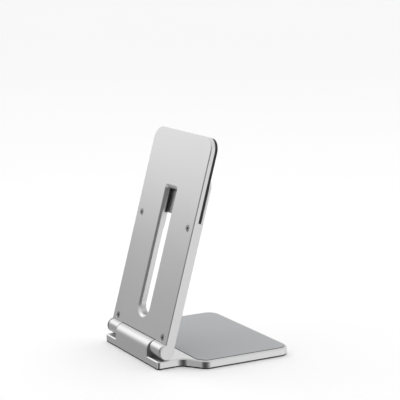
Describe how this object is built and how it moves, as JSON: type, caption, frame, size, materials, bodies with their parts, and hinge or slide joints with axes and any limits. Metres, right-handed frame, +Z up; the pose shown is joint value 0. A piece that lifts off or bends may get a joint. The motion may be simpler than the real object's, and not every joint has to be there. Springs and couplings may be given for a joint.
{
  "type": "tablet stand",
  "caption": "Folding aluminium tablet stand: flared padded base, friction hinge and slotted arm whose front clamp takes the edge of a tablet's own kickstand.",
  "frame": {"origin": "on the surface it stands on, under the centre of the base", "axes": "+Z up, +X along the hinge axis, -Y towards the user, so the hinge is at +Y"},
  "size_m": [0.134, 0.121, 0.1901],
  "materials": {
    "base_metal": "bead-blasted silver anodised",
    "base_pad_grey": "matte grey inlay",
    "foot_rubber": "matte black",
    "spring_steel": "oiled",
    "arm_metal": "bead-blasted silver anodised",
    "barrel_metal": "satin turned",
    "shaft_steel": "ground",
    "washer_black": "matte black",
    "screw_steel": "nickel plated",
    "pad_rubber": "matte black",
    "clamp_metal": "bead-blasted silver anodised"
  },
  "bodies": {
    "base": {"base_plate": "base_metal", "base_top_pad": "base_pad_grey", "base_foot_pad": "foot_rubber", "friction_clips_left": "spring_steel", "friction_clips_right": "spring_steel"},
    "arm": {"arm_plate": "arm_metal", "hinge_barrel_left": "barrel_metal", "hinge_barrel_right": "barrel_metal", "hinge_shaft_left": "shaft_steel", "hinge_shaft_right": "shaft_steel", "thrust_washer_left": "washer_black", "thrust_washer_right": "washer_black", "shaft_clip_left": "spring_steel", "shaft_clip_right": "spring_steel", "hinge_screws": "screw_steel", "clamp_screws": "screw_steel", "head_pad": "pad_rubber", "clamp_pad": "pad_rubber", "clamp_plate": "clamp_metal"}
  },
  "joints": [
    {"name": "arm_tilt", "type": "hinge", "parent": "base", "child": "arm", "pos_m": [0, 0.0521, 0.0143], "axis": [1, 0, 0], "range_deg": [-18, 73]}
  ]
}
